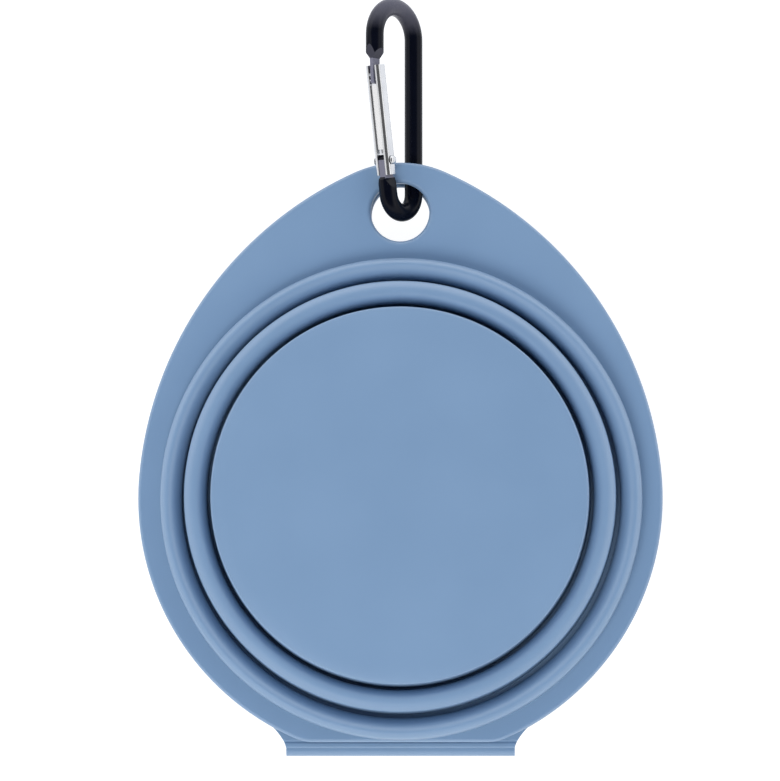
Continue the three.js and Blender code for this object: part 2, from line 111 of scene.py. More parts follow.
def choose(piece, kind, test):
    """Selects the vertices or edges of a piece that pass a test, and stays in edit mode."""
    only(piece)
    bpy.ops.object.mode_set(mode="EDIT")
    bpy.ops.mesh.select_mode(type=kind)
    bpy.ops.mesh.select_all(action="DESELECT")
    bpy.ops.object.mode_set(mode="OBJECT")
    mesh = piece.data
    place = [vertex.co for vertex in mesh.vertices]
    if kind == "VERT":
        for vertex in mesh.vertices:
            vertex.select = test(vertex.co)
    else:
        for edge in mesh.edges:
            edge.select = test(place[edge.vertices[0]], place[edge.vertices[1]])
    bpy.ops.object.mode_set(mode="EDIT")


# %% Draw a line of vertices
SAME, NEAR = 1e-7, 1e-6


def one_point(name, place):
    """A plane merged into a single vertex: the start of a drawn line. Stays in edit mode."""
    start_clean()
    bpy.ops.mesh.primitive_plane_add(size=MM)
    piece = bpy.context.active_object
    piece.name = piece.data.name = name
    bpy.ops.object.mode_set(mode="EDIT")
    bpy.ops.mesh.select_mode(type="VERT")
    bpy.ops.mesh.select_all(action="SELECT")
    bpy.ops.mesh.merge(type="CENTER")
    bpy.ops.transform.translate(value=place)
    return piece


def extrude(step):
    bpy.ops.mesh.extrude_region_move(TRANSFORM_OT_translate={"value": step})


def drawn_line(name, points, closed):
    """A line of vertices through the points, extruded one after the other."""
    piece = one_point(name, points[0])
    ends = points + points[:1] if closed else points
    for here, there in zip(ends, ends[1:]):
        extrude(there - here)
    bpy.ops.mesh.select_all(action="SELECT")
    bpy.ops.mesh.remove_doubles(threshold=SAME)
    return piece


# %% Count faces and open edges
def tell(piece):
    """Prints a piece's faces, and the edges that don't lie between exactly two of them."""
    uses = {}
    for face in piece.data.polygons:
        for edge in face.edge_keys:
            uses[edge] = uses.get(edge, 0) + 1
    gaps = sum(count != 2 for count in uses.values())
    print(piece.name, len(piece.data.polygons), "faces,", gaps, "open edges")


# %% Spin a drawn line, fill a flat outline
TURN, CORNER_STEPS, SMOOTH_UNDER = 192, 5, math.radians(35)


def spun(name, profile, closed, steps=TURN, middle=MID):
    """A ring or cup: (radius, height, rounding) corners drawn as a line and spun once about Z."""
    corner = [Vector((point[0], 0, middle + point[1])) * MM for point in profile]
    piece = drawn_line(name, corner, closed)
    for place, point in zip(corner, profile):
        if len(point) == 3:
            choose(piece, "VERT", lambda co: (co - place).length < NEAR)
            bpy.ops.mesh.bevel(affect="VERTICES", offset=point[2] * MM, segments=CORNER_STEPS)
    bpy.ops.mesh.select_all(action="SELECT")
    bpy.ops.mesh.spin(steps=steps, angle=2 * math.pi, center=(0, 0, 0), axis=(0, 0, 1))
    bpy.ops.mesh.select_all(action="SELECT")
    bpy.ops.mesh.remove_doubles(threshold=SAME)
    bpy.ops.mesh.normals_make_consistent(inside=False)
    bpy.ops.object.mode_set(mode="OBJECT")
    bpy.ops.object.shade_smooth_by_angle(angle=SMOOTH_UNDER)
    tell(piece)
    return piece


def filled(piece, step):
    """Fills the drawn outline and extrudes it by a step into a closed block."""
    bpy.ops.mesh.select_all(action="SELECT")
    bpy.ops.mesh.edge_face_add()
    extrude(step)
    bpy.ops.mesh.select_all(action="SELECT")
    bpy.ops.mesh.normals_make_consistent(inside=False)
    bpy.ops.object.mode_set(mode="OBJECT")
    return piece


# %% Cut, join, copy and move
def combine(piece, other, operation):
    """Joins, cuts or clips a piece with another, which is used up."""
    only(piece)
    modifier = piece.modifiers.new("combine", "BOOLEAN")
    modifier.operation, modifier.object, modifier.solver = operation, other, "EXACT"
    bpy.ops.object.modifier_apply(modifier=modifier.name)
    bpy.data.objects.remove(other)
    return piece


def copy_of(piece, name):
    only(piece)
    bpy.ops.object.duplicate()
    double = bpy.context.active_object
    double.name = double.data.name = name
    return double


def moved(piece, step):
    """Moves a piece by a step in millimetres, and keeps the place in its mesh."""
    only(piece)
    bpy.ops.transform.translate(value=Vector(step) * MM)
    bpy.ops.object.transform_apply(location=True, rotation=True, scale=True)
    return piece


def turned_over(piece, name):
    """The same piece for the lower bowl: a half turn about the Y axis through the middle plane."""
    double = copy_of(piece, name)
    bpy.ops.transform.rotate(value=math.pi, orient_axis="Y", center_override=(0, 0, MID * MM))
    bpy.ops.object.transform_apply(location=True, rotation=True, scale=True)
    return double


# %% Soften creases, even out the shading
def softened(piece, width, angle):
    """A small bevel on every crease that is sharper than an angle in degrees."""
    only(piece)
    bevel = piece.modifiers.new("soften", "BEVEL")
    bevel.width, bevel.segments = width * MM, 2
    bevel.limit_method, bevel.angle_limit = "ANGLE", math.radians(angle)
    bevel.use_clamp_overlap = True
    bpy.ops.object.modifier_apply(modifier=bevel.name)


def even_shading(piece, angle):
    """Smooth shading up to an angle in degrees, with normals that follow the larger faces."""
    only(piece)
    bpy.ops.object.shade_smooth_by_angle(angle=math.radians(angle))
    weighted = piece.modifiers.new("even", "WEIGHTED_NORMAL")
    weighted.mode, weighted.weight, weighted.keep_sharp = "FACE_AREA", 50, True
    bpy.ops.object.modifier_apply(modifier=weighted.name)
    return piece


# %% [markdown]
# ## Base cup
#
# The flat disc in the middle is the bottom of a bowl. Its edge bows down gently and then turns into a
# wall that goes down into the first groove. On the real bowl it is the thickest part, because the
# bowl stands on it. The bowed edge is part of an oval, drawn point by point, because a bevel would
# make it circular.


# %% Model the base cup
OVAL_STEPS = 10


def oval(centre, across, down, start=90, end=0, power=1):
    """Points of an oval from one angle to another, in degrees: 90 is the top, 0 the outer side.

    A power above 1 draws the oval in towards a straight slope."""
    def drawn_in(value):
        return math.copysign(abs(value) ** power, value)

    turn = [start + (end - start) * step / OVAL_STEPS for step in range(OVAL_STEPS + 1)]
    return [(centre[0] + across * drawn_in(math.cos(a)), centre[1] + down * drawn_in(math.sin(a)))
            for a in map(math.radians, turn)]


BASE_THICK, FLOOR_ROUND = 2.3, 2
BOW_START, BOW_WIDTH, BOW_DROP, BOW_END = 4.05, 4.2, 0.75, 37
EDGE_IN, EDGE_DOWN, EDGE_ROUND = 0.25, 0.45, 0.3
base_floor = BASE_TOP - BASE_THICK
upper_base = spun("upper_base_form", [
    (0, BASE_TOP),
    *oval((BASE_RADIUS - BOW_START, BASE_TOP - BOW_DROP), BOW_WIDTH, BOW_DROP, end=BOW_END),
    (BASE_RADIUS - EDGE_IN, BASE_TOP - EDGE_DOWN, EDGE_ROUND),
    (BASE_RADIUS + FOOT_LEAN, wall_foot),
    (BASE_RADIUS + WALL_LEAN - WALL, wall_foot),
    (BASE_RADIUS - WALL, base_floor, FLOOR_ROUND),
    (0, base_floor),
], closed=False)

# %% [markdown]
# ## Webs
#
# Between two walls the silicone is thin. This thin web is what turns inside out when a bowl pops
# open. It starts at the foot of the inner wall, turns in a tight U and climbs to the crest of the
# next wall. It is spun like the rest, with many points along its height.


# %% Model the two webs
WEB_STEPS, FOOT_ROUND, TURN_ROUND = 16, 0.5, 0.9


def web(name, inner_radius, crest_height):
    """A web from the foot of the wall at a radius up into the crest of the next wall."""
    foot = inner_radius + WALL_LEAN
    near = foot + GROOVE
    top = crest_height - STUB
    parts = [step / WEB_STEPS for step in range(WEB_STEPS + 1)]
    rise = [FOLD_HIGH + (top - FOLD_HIGH) * part for part in parts]
    lean = [WEB_LEAN * part for part in parts]
    return spun(name, [
        (foot - WALL, FOLD_LOW, FOOT_ROUND),
        (near + WEB, FOLD_LOW, TURN_ROUND),
        *[(near + WEB + out, up) for out, up in zip(lean, rise)],
        *[(near + out, up) for out, up in zip(reversed(lean), reversed(rise))],
        (foot - WALL, FOLD_HIGH),
    ], closed=True)


upper_inner_web = web("upper_inner_web_form", BASE_RADIUS, MIDDLE_TOP)
upper_outer_web = moved(web("upper_outer_web_form", MIDDLE_RADIUS, RIM_TOP), RIM_SHIFT)

# %% [markdown]
# ## Middle ring and rim
#
# Each ring has a crest: a broad rounded inner side that nearly closes the groove, and an outer side
# that bows down to the wall and catches the light. One function draws the crest for both. The crest
# is solid and the web ends inside it, so that an open bowl shows a ledge there and no gap. The
# ring's wall goes down to the next web. The rim's crest is narrower and its wall goes down to the
# panel. The rim and the web inside it sit a little towards the fold and to the right, as the soft
# moulding in the photograph does.


# %% Draw a crest
LEDGE_SLOPE, LEDGE_ROUND = 0.5, 0.3


def crest(inner_radius, height, under, inner_side, outer_side):
    """Corners of a crest from its ledge, over the top, to the top of the outer wall.

    Widths are counted from the radius of the piece inside. The ledge starts at the width under. The
    inner side is (start, ridge, depth, power), and the outer side lists (out, drop, rounding)."""
    start, ridge, depth, power = inner_side
    slope = oval((inner_radius + ridge, height - depth), ridge - start, depth, start=180, end=90,
                 power=power)
    return [
        (inner_radius + under, height - depth - LEDGE_SLOPE, LEDGE_ROUND),
        (*slope[0], LEDGE_ROUND),
        *slope[1:],
        *[(inner_radius + out, height - drop, *rounding) for out, drop, *rounding in outer_side],
    ]


# %% Model the middle ring
RING_LEDGE, RING_INNER = 4.5, (1.0, 3.7, 4.8, 1)
RING_OUTER = [(4.3, 0), (4.8, 0.1), (5.4, 0.36), (6.1, 0.76), (6.38, 1), (6.5, 1.35, 0.2)]
upper_ring = spun("upper_ring_form", [
    (MIDDLE_RADIUS + WALL_LEAN - WALL, wall_foot),
    *crest(BASE_RADIUS, MIDDLE_TOP, RING_LEDGE, RING_INNER, RING_OUTER),
    (MIDDLE_RADIUS + FOOT_LEAN, wall_foot),
], closed=True)

# %% [markdown]
# ## Panel
#
# The panel carries its bowl, the hole for the carabiner and half of the folding strip. Its outline
# is a straight edge at the fold and seven arcs: two rounded corners, the round part on both sides,
# two long sides and the tip. A single vertex is spun about each arc's centre in turn, which draws
# exact tangent arcs. The outline could be a curve object, but spinning a vertex needs no handles. The
# face is extruded and its edges are bevelled. The rim, the leaf of the strip and the rounded hole are
# then joined and cut with boolean modifiers.


# %% Draw the egg outline
tip_centre = TIP - TIP_RADIUS
spread = ROUND_RADIUS - TIP_RADIUS
offset = (tip_centre**2 - spread**2) / (2 * (spread - tip_centre * math.sin(SIDE_START)))
side_x, side_y = offset * math.cos(SIDE_START), -offset * math.sin(SIDE_START)
tip_angle = math.atan2(tip_centre - side_y, side_x)
print("long sides have a radius of", round(ROUND_RADIUS + offset, 1))


def arc(centre, angle, steps):
    """Carries the chosen vertex round a centre in the XY plane, leftwards for a positive angle."""
    bpy.ops.mesh.spin(
        steps=steps, angle=-angle, center=(centre[0] * MM, centre[1] * MM, 0), axis=(0, 0, 1)
    )


CORNER_ARC, ROUND_ARC, SIDE_ARC, TIP_ARC = 8, 56, 40, 36


def egg_block(name, inset, low, high):
    """The egg-shaped outline, with its straight edge drawn in, as a block between two heights."""
    corner_y = EDGE_CORNER - HINGE_EDGE
    corner_x = math.sqrt((ROUND_RADIUS - EDGE_CORNER) ** 2 - corner_y**2)
    corner_angle = math.atan2(corner_x, -corner_y)
    round_angle = math.pi / 2 - corner_angle + SIDE_START
    piece = one_point(name, Vector((corner_x, inset - HINGE_EDGE, MID + low)) * MM)
    arc((corner_x, corner_y), corner_angle, CORNER_ARC)
    arc((0, 0), round_angle, ROUND_ARC)
    arc((-side_x, side_y), tip_angle - SIDE_START, SIDE_ARC)
    arc((0, tip_centre), math.pi - 2 * tip_angle, TIP_ARC)
    arc((side_x, side_y), tip_angle - SIDE_START, SIDE_ARC)
    arc((0, 0), round_angle, ROUND_ARC)
    arc((-corner_x, corner_y), corner_angle, CORNER_ARC)
    return filled(piece, (0, 0, (high - low) * MM))


# %% Model the panel's plate
PANEL_ROUND = 0.8
plate = egg_block("upper_panel_form", 0, PANEL_LOW, PANEL_HIGH)
choose(plate, "EDGE", lambda a, b: abs(a.z - b.z) < SAME)
bpy.ops.mesh.bevel(affect="EDGES", offset=PANEL_ROUND * MM, segments=CORNER_STEPS)
bpy.ops.object.mode_set(mode="OBJECT")
tell(plate)


# %% Draw the leaf of the folding strip
LEAF_SHORT, LEAF_STEPS, LEAF_ROUND, LEAF_ROUND_STEPS = 0.6, 14, 1.5, 8


def leaf_block(name, inset, low, high):
    """The strip's leaf: a straight edge at the fold and sides that flare out under the panel."""
    end, flare = FOLD_REACH - LEAF_SHORT - inset, []
    for step in range(LEAF_STEPS + 1):
        t = step / LEAF_STEPS
        across = FOLD_HALF_WIDTH - inset + (LEAF_WIDE - FOLD_HALF_WIDTH) * t**LEAF_FLARE
        flare.append((across, t * (end - LEAF_ROOT) - end))
    outline = flare + [(-across, along) for across, along in reversed(flare)]
    points = [Vector((across, along, MID + low)) * MM for across, along in outline]
    return filled(drawn_line(name, points, closed=True), (0, 0, (high - low) * MM))


leaf = leaf_block("leaf", 0, LEAF_LOW, LEAF_HIGH)
leaf_end = min(vertex.co.y for vertex in leaf.data.vertices) + NEAR
leaf_top = (MID + LEAF_HIGH) * MM - NEAR
choose(leaf, "EDGE", lambda a, b: max(a.y, b.y) < leaf_end and min(a.z, b.z) > leaf_top)
bpy.ops.mesh.bevel(affect="EDGES", offset=LEAF_ROUND * MM, segments=LEAF_ROUND_STEPS)
bpy.ops.object.mode_set(mode="OBJECT")
tell(leaf)

# %% Press a line into the leaf and join it
LINE_RADIUS, LINE_Y, LINE_LIFT, LINE_LENGTH = 0.45, -60.65, 0.1, 80
RISER_INSET, RISER_SIDE, RISER_LOW, RISER_HIGH = 0.45, 0.05, 0.4, 1.1
start_clean()
bpy.ops.mesh.primitive_cylinder_add(
    vertices=48, radius=LINE_RADIUS * MM, depth=LINE_LENGTH * MM, rotation=(0, math.pi / 2, 0),
    location=(0, LINE_Y * MM, (MID + LEAF_HIGH + LINE_LIFT) * MM),
)
combine(leaf, bpy.context.active_object, "DIFFERENCE")
riser = leaf_block("riser", RISER_SIDE, LEAF_LOW + RISER_LOW, PANEL_LOW + RISER_HIGH)
combine(riser, egg_block("riser_limit", RISER_INSET, 0, PANEL_HIGH), "INTERSECT")
combine(riser, leaf, "UNION")
combine(plate, riser, "UNION")
tell(plate)

# %% Cut the mouth and join the rim
MOUTH_RADIUS, MOUTH_DEPTH = 59, 20
LIP_ROUND, LIP_UP, WALL_SPREAD, WALL_UP = 0.6, 1.2, 0.05, 0.1
RIM_LEDGE, RIM_INNER = 4.2, (1.05, 4.7, 4.8, 1.25)
RIM_OUTER = [
    (4.85, 0.03), (5.15, 0.12), (5.5, 0.3), (5.8, 0.56), (6.05, 0.86), (6.2, 1.15), (6.3, 1.5, 0.2)
]
start_clean()
bpy.ops.mesh.primitive_cylinder_add(
    vertices=TURN, radius=MOUTH_RADIUS * MM, depth=MOUTH_DEPTH * MM,
    location=(Vector(RIM_SHIFT) + Vector((0, 0, MID + PANEL_LOW))) * MM,
)
combine(plate, bpy.context.active_object, "DIFFERENCE")
lip = RIM_RADIUS - WALL + LIP_WIDTH
rim = spun("rim", [
    (RIM_RADIUS - WALL, LIP_LOW, LIP_ROUND),
    *crest(MIDDLE_RADIUS, RIM_TOP, RIM_LEDGE, RIM_INNER, RIM_OUTER),
    (RIM_RADIUS, PANEL_HIGH + WALL_UP),
    (RIM_RADIUS + WALL_SPREAD, PANEL_LOW + LIP_UP),
    (lip, PANEL_LOW + LIP_UP),
    (lip, LIP_LOW, LIP_ROUND),
], closed=True)
combine(plate, moved(rim, RIM_SHIFT), "UNION")
tell(plate)

# %% Cut the rounded hole
HOLE_STEPS, HOLE_TURN, SPOOL_SPARE = 8, 96, 2
half = (PANEL_HIGH - PANEL_LOW) / 2
centre = (PANEL_HIGH + PANEL_LOW) / 2
spool_end = half + SPOOL_SPARE
flare = []
for step in range(HOLE_STEPS + 1):
    angle = math.pi / 2 * (1 - step / HOLE_STEPS)
    radius = HOLE_RADIUS + HOLE_ROUND * (1 - math.sin(angle))
    flare.append((radius, half - HOLE_ROUND + HOLE_ROUND * math.cos(angle)))
spool = spun("spool", [
    (0, centre + spool_end),
    (HOLE_RADIUS + HOLE_ROUND, centre + spool_end),
    *[(radius, centre + height) for radius, height in reversed(flare)],
    *[(radius, centre - height) for radius, height in flare],
    (HOLE_RADIUS + HOLE_ROUND, centre - spool_end),
    (0, centre - spool_end),
], closed=False, steps=HOLE_TURN)
combine(plate, moved(spool, (0, HOLE_Y, 0)), "DIFFERENCE")
upper_panel = even_shading(plate, angle=42)
tell(upper_panel)

# %% [markdown]
# ## Fold
#
# The rounded back of the fold joins the two leaves. It is half a rod: an arc drawn by spinning a
# vertex about the fold's axis, filled and extruded along the fold. It is drawn with many steps
# because it bends between the two panels.

# %% Model the fold
FOLD_INSET, FOLD_BACK, FOLD_STEPS = 0.15, 0.75, 32
fold_y = -(FOLD_REACH - FOLD_INSET)
fold_start = Vector((-FOLD_HALF_WIDTH, fold_y + FOLD_BACK, MID + FOLD_RADIUS))
hinge_fold = one_point("hinge_fold_form", fold_start * MM)
extrude(Vector((0, -FOLD_BACK, 0)) * MM)
bpy.ops.mesh.spin(
    steps=FOLD_STEPS, angle=-math.pi, center=(0, fold_y * MM, MID * MM), axis=(1, 0, 0)
)
extrude(Vector((0, FOLD_BACK, 0)) * MM)
filled(hinge_fold, (2 * FOLD_HALF_WIDTH * MM, 0, 0))
bpy.ops.object.shade_smooth_by_angle(angle=SMOOTH_UNDER)
tell(hinge_fold)

# %% [markdown]
# ## The lower bowl
#
# The lower bowl is the same moulding turned over. Each of its pieces is a copy with its own mesh.

# %% Copy the bowl
lower_base = turned_over(upper_base, "lower_base_form")
lower_inner_web = turned_over(upper_inner_web, "lower_inner_web_form")
lower_ring = turned_over(upper_ring, "lower_ring_form")
lower_outer_web = turned_over(upper_outer_web, "lower_outer_web_form")
lower_panel = turned_over(upper_panel, "lower_panel_form")
for piece in (lower_base, lower_inner_web, lower_ring, lower_outer_web, lower_panel):
    tell(piece)

# %% [markdown]
# ## Carabiner rod
#
# The carabiner is one rod, bent twice. A circle of vertices is pushed along it: extruded for the
# straight legs and spun about each bend's centre. This follows the way the real rod is bent, and the
# section stays round. The loop is drawn flat, with X across it and Y along it, and rolled into its
# place at the end.

# %% Sizes of the carabiner
ROD, LOOP_LENGTH, LOOP_WIDTH = 2.25, 51.5, 15.4
ROLL = math.radians(52)
# The seen widths are taken from above, across the rolled loop.
SEEN_CROSSING, SEEN_LEG, LEG_BELOW = 4.2, 8.27, 5.2
CROSSING, LEG_ACROSS = SEEN_CROSSING / math.sin(ROLL), SEEN_LEG / math.sin(ROLL)
PIVOT_ALONG, TAPER_END, NOSE_END, TONGUE = 12.5, 36.7, 41.2, 1.5
LEAN = math.atan2(LOOP_WIDTH - LEG_ACROSS, TAPER_END - PIVOT_ALONG + LEG_BELOW)
PIVOT_ACROSS = LEG_ACROSS + LEG_BELOW * math.tan(LEAN)
BEND = (PIVOT_ACROSS * math.cos(LEAN) - PIVOT_ALONG * math.sin(LEAN)) / (
    1 + math.cos(LEAN) - math.sin(LEAN)
)
GATE_GAP, LATCH_BELOW = 0.6, 3.1
GATE_ABOVE = (TAPER_END - GATE_GAP - PIVOT_ALONG) / math.cos(LEAN)
GATE_BELOW, GATE_DEPTH, GATE_BREADTH, SLOT = 3.6, 3.2, 4.4, 2.1
LATCH_ALONG = GATE_ABOVE - LATCH_BELOW
print("bend", round(BEND, 2), "gate", round(GATE_ABOVE + GATE_BELOW, 2))

# %% Places of the loop and of the gate's pivot
in_place = Matrix.Translation(Vector((CROSSING * math.cos(ROLL), HOLE_Y, MID)) * MM) @ Euler(
    (0, math.pi + ROLL, 0)
).to_matrix().to_4x4()
on_leg = Matrix.Translation(Vector((PIVOT_ACROSS, PIVOT_ALONG, 0)) * MM) @ Euler(
    (0, 0, -LEAN)
).to_matrix().to_4x4()
at_pivot = in_place @ on_leg
print("pivot", [round(x / MM, 2) for x in at_pivot.translation])

# %% Bend the rod
ROD_START, SPARE, ROD_SIDES, ARCH_STEPS, BEND_STEPS = 31, 0.6, 48, 48, 40
start_clean()
bpy.ops.mesh.primitive_circle_add(
    vertices=ROD_SIDES, radius=ROD * MM, location=(LOOP_WIDTH * MM, ROD_START * MM, 0),
    rotation=(math.pi / 2, 0, 0),
)
rod = bpy.context.active_object
rod.name = rod.data.name = "carabiner_form"
bpy.ops.object.transform_apply(location=True, rotation=True, scale=True)
bpy.ops.object.mode_set(mode="EDIT")
bpy.ops.mesh.select_all(action="SELECT")
top_radius = LOOP_WIDTH / 2
extrude((0, (LOOP_LENGTH - top_radius - ROD_START) * MM, 0))
arc((top_radius, LOOP_LENGTH - top_radius), math.pi, ARCH_STEPS)
extrude((0, (BEND - LOOP_LENGTH + top_radius) * MM, 0))
arc((BEND, BEND), math.pi - LEAN, BEND_STEPS)
bend_end = Vector((BEND + BEND * math.cos(LEAN), BEND - BEND * math.sin(LEAN), 0))
leg_end = Vector((PIVOT_ACROSS, PIVOT_ALONG, 0)) + (TONGUE + SPARE) * Vector(
    (math.sin(LEAN), math.cos(LEAN), 0)
)
extrude((leg_end - bend_end) * MM)
print("leg ends at", [round(x, 2) for x in leg_end])


# %% Close the rod's two ends
def at_start(place):
    return place.x > top_radius * MM and abs(place.y - ROD_START * MM) < NEAR


bpy.ops.mesh.select_mode(type="EDGE")
bpy.ops.mesh.select_non_manifold(extend=False)
bpy.ops.mesh.edge_face_add()
choose(rod, "EDGE", lambda a, b: at_start(a) and at_start(b))
bpy.ops.mesh.edge_face_add()
bpy.ops.mesh.select_all(action="SELECT")
bpy.ops.mesh.normals_make_consistent(inside=False)
bpy.ops.object.mode_set(mode="OBJECT")
tell(rod)

# %% [markdown]
# ## Milled ends of the rod
#
# The nose is tapered and milled flat into a small hook that reaches round the gate's latch pin. The
# other end is milled into a flat tongue with a round end, which the gate turns on. Cutters with the
# outline of the waste take the metal away, as the milling cutter does, so the round rod runs into
# the flats in true curves. Pulling vertices would not give those edges.


# %% Shape the cutters and put them in place
def sawn(name, outline, reach):
    """A block from an outline in the loop's plane, given as (across, along)."""
    points = [Vector((across, along, -reach)) * MM for across, along in outline]
    return filled(drawn_line(name, points, closed=True), (0, 0, 2 * reach * MM))


def planed(name, outline, middle, reach):
    """A block from an outline seen from the side, given as (along, height), laid across a leg."""
    points = [Vector((middle - reach, along, height)) * MM for along, height in outline]
    return filled(drawn_line(name, points, closed=True), (2 * reach * MM, 0, 0))


def put(piece, matrix):
    """Moves a piece from its drawing to its place, and keeps the place in its mesh."""
    only(piece)
    piece.matrix_world = matrix @ piece.matrix_world
    bpy.ops.object.transform_apply(location=True, rotation=True, scale=True)
    return piece


PIN, ROOM, REACH = 0.5, 0.3, 4
pin_across = PIVOT_ACROSS + LATCH_ALONG * math.sin(LEAN)
pin_along = PIVOT_ALONG + LATCH_ALONG * math.cos(LEAN)
print("latch pin at", round(pin_across, 2), round(pin_along, 2))

# %% Mill the nose
TAPER, NECK, HOOK, HAIR = 1.4, TAPER_END + 1, 0.8, 0.01
ASIDE, WASTE_SPARE = 5, 3
NOSE_FLAT, FLAT_BELOW, FLAT_RISE = 0.5, 0.9, 2.3
waste_end, flat_start = ROD_START - WASTE_SPARE, NOSE_END - FLAT_BELOW
pin_room = PIN + ROOM
hook_back, hook_floor = pin_across + pin_room, pin_along - pin_room
hook_roof, hook_front = pin_along + pin_room + ROOM, pin_across - PIN
nose_waste = sawn("nose_waste", [
    (LOOP_WIDTH - ASIDE, NOSE_END),
    (LOOP_WIDTH - ROD - HAIR, NOSE_END),
    (LOOP_WIDTH - TAPER, NECK),
    (LOOP_WIDTH - TAPER, hook_roof),
    (hook_back, hook_roof),
    (hook_back, hook_floor),
    (hook_front, hook_floor),
    (hook_front, hook_floor - HOOK),
    (hook_back + HOOK, hook_floor - HOOK),
    (LOOP_WIDTH + TAPER, NECK),
    (LOOP_WIDTH + ROD + HAIR, NOSE_END),
    (LOOP_WIDTH + ASIDE, NOSE_END),
    (LOOP_WIDTH + ASIDE, waste_end),
    (LOOP_WIDTH - ASIDE, waste_end),
], REACH)
combine(rod, nose_waste, "DIFFERENCE")
for side in (1, -1):
    nose_flat = planed("nose_flat", [
        (flat_start, FLAT_RISE * side),
        (NECK, NOSE_FLAT * side),
        (waste_end, NOSE_FLAT * side),
        (waste_end, REACH * side),
        (flat_start, REACH * side),
    ], LOOP_WIDTH, REACH)
    combine(rod, nose_flat, "DIFFERENCE")
tell(rod)

# %% Mill the tongue
TONGUE_FLAT, TONGUE_SIDE, TONGUE_FOOT, FOOT_WIDE, END_STEPS = 0.95, -4, -4.7, 2.3, 20
SHOULDER_LOW, SHOULDER_HIGH, SHOULDER_RISE = -7.2, -4.4, 2.4
round_end = [(TONGUE * math.cos(a), TONGUE * math.sin(a))
             for a in [math.pi * (1 - step / END_STEPS) for step in range(END_STEPS + 1)]]
tongue_waste = sawn("tongue_waste", [
    (-REACH, TONGUE_FOOT), (-FOOT_WIDE, TONGUE_FOOT), (-TONGUE, TONGUE_SIDE),
    *round_end,
    (TONGUE, TONGUE_SIDE), (FOOT_WIDE, TONGUE_FOOT), (REACH, TONGUE_FOOT),
    (REACH, REACH), (-REACH, REACH),
], REACH)
combine(rod, put(tongue_waste, on_leg), "DIFFERENCE")
for side in (1, -1):
    tongue_flat = planed("tongue_flat", [
        (SHOULDER_LOW, SHOULDER_RISE * side),
        (SHOULDER_HIGH, TONGUE_FLAT * side),
        (REACH, TONGUE_FLAT * side),
        (REACH, REACH * side),
        (SHOULDER_LOW, REACH * side),
    ], 0, REACH)
    combine(rod, put(tongue_flat, on_leg), "DIFFERENCE")
softened(rod, width=0.1, angle=24)
even_shading(rod, angle=30)
tell(rod)

# %% [markdown]
# ## Wear and painted light on the rod
#
# Where the hook meets the gate and where the gate turns on the tongue, the milled flats are grey:
# partly wear of the coat, partly a painted reflection of the light they catch. The tapered facets of
# the nose get a dimmer grey, a painted reflection, and the arch gets a painted sheen. The tongue's
# tip is hidden in the gate and keeps its coat. A mask could be painted by hand or come from noise.
# Here it is an attribute of the mesh, filled in by place, so that it follows the milled faces
# exactly.

# %% Mark the wear and the painted reflections on the milled faces
COATED_TIP, TAPER_PAINTED_REFLECTION, SKIN = 0.3, 0.25, 0.05
nose_axis = Vector((LOOP_WIDTH, 0, 0))
to_leg = on_leg.inverted()
wear_and_painted_reflection = rod.data.attributes.new("wear_and_painted_reflection", "FLOAT", "FACE")
for face in rod.data.polygons:
    across, along, _ = face.center / MM
    if across < top_radius:
        continue
    milled = (face.center / MM - nose_axis).xz.length < ROD - SKIN
    # Nose: the hook gets wear with a painted reflection, the tapered facets a dimmer painted
    # reflection
    if milled and waste_end < along < NOSE_END:
        wear_and_painted_reflection.data[face.index].value = 1 if along < NECK else TAPER_PAINTED_REFLECTION
    # Tongue's flats: wear with a painted reflection
    if SHOULDER_HIGH * MM < (to_leg @ face.center).y < COATED_TIP * MM:
        wear_and_painted_reflection.data[face.index].value = 1
print(sum(value.value > 0 for value in wear_and_painted_reflection.data), "worn faces")

# %% Mark the painted sheen on the arch
# A painted sheen: the arch's colour grows paler towards its top, standing in for the reflection it
# catches
SHEEN_START, SHEEN_END, SHEEN_AMOUNT = 45, 52.5, 0.65
painted_sheen = rod.data.attributes.new("painted_sheen", "FLOAT", "POINT")
for vertex in rod.data.vertices:
    part = min(max((vertex.co.y / MM - SHEEN_START) / (SHEEN_END - SHEEN_START), 0), 1)
    painted_sheen.data[vertex.index].value = SHEEN_AMOUNT * part
put(rod, in_place)
tell(rod)

# %% [markdown]
# ## Gate
#
# The gate is a bright bar. A shallow channel runs along its outer face. Slots at both ends take the
# hook and the tongue, and a bore holds the spring that pushes it shut. The bar starts as a cube of
# the bar's size with its long edges bevelled. Channel and slots are one cut, so that they line up.
# The channel's floor is polished, and an attribute marks it for the finish.

# %% Model the gate
CHANNEL, CORNER, LATCH_ROOM, SLOT_BOTTOM, BESIDE, PAST_END = 0.4, 0.86, 1.9, 2.8, 3, 1
slot_top, channel_floor = LATCH_ALONG - LATCH_ROOM, GATE_DEPTH / 2 - CHANNEL
start_clean()
bpy.ops.mesh.primitive_cube_add(
    size=1, location=(0, (GATE_ABOVE - GATE_BELOW) / 2 * MM, 0),
    scale=(GATE_DEPTH * MM, (GATE_ABOVE + GATE_BELOW) * MM, GATE_BREADTH * MM),
)
gate = bpy.context.active_object
gate.name = gate.data.name = "gate_form"
bpy.ops.object.transform_apply(location=True, rotation=True, scale=True)
choose(gate, "EDGE", lambda a, b: abs(a.y - b.y) > GATE_ABOVE * MM)
bpy.ops.mesh.bevel(affect="EDGES", offset=CORNER * MM, segments=CORNER_STEPS)
bpy.ops.object.mode_set(mode="OBJECT")
combine(gate, sawn("slots", [
    (BESIDE, -REACH), (BESIDE, GATE_ABOVE + PAST_END),
    (-BESIDE, GATE_ABOVE + PAST_END), (-BESIDE, slot_top),
    (channel_floor, slot_top), (channel_floor, SLOT_BOTTOM),
    (-BESIDE, SLOT_BOTTOM), (-BESIDE, -REACH),
], SLOT / 2), "DIFFERENCE")
tell(gate)


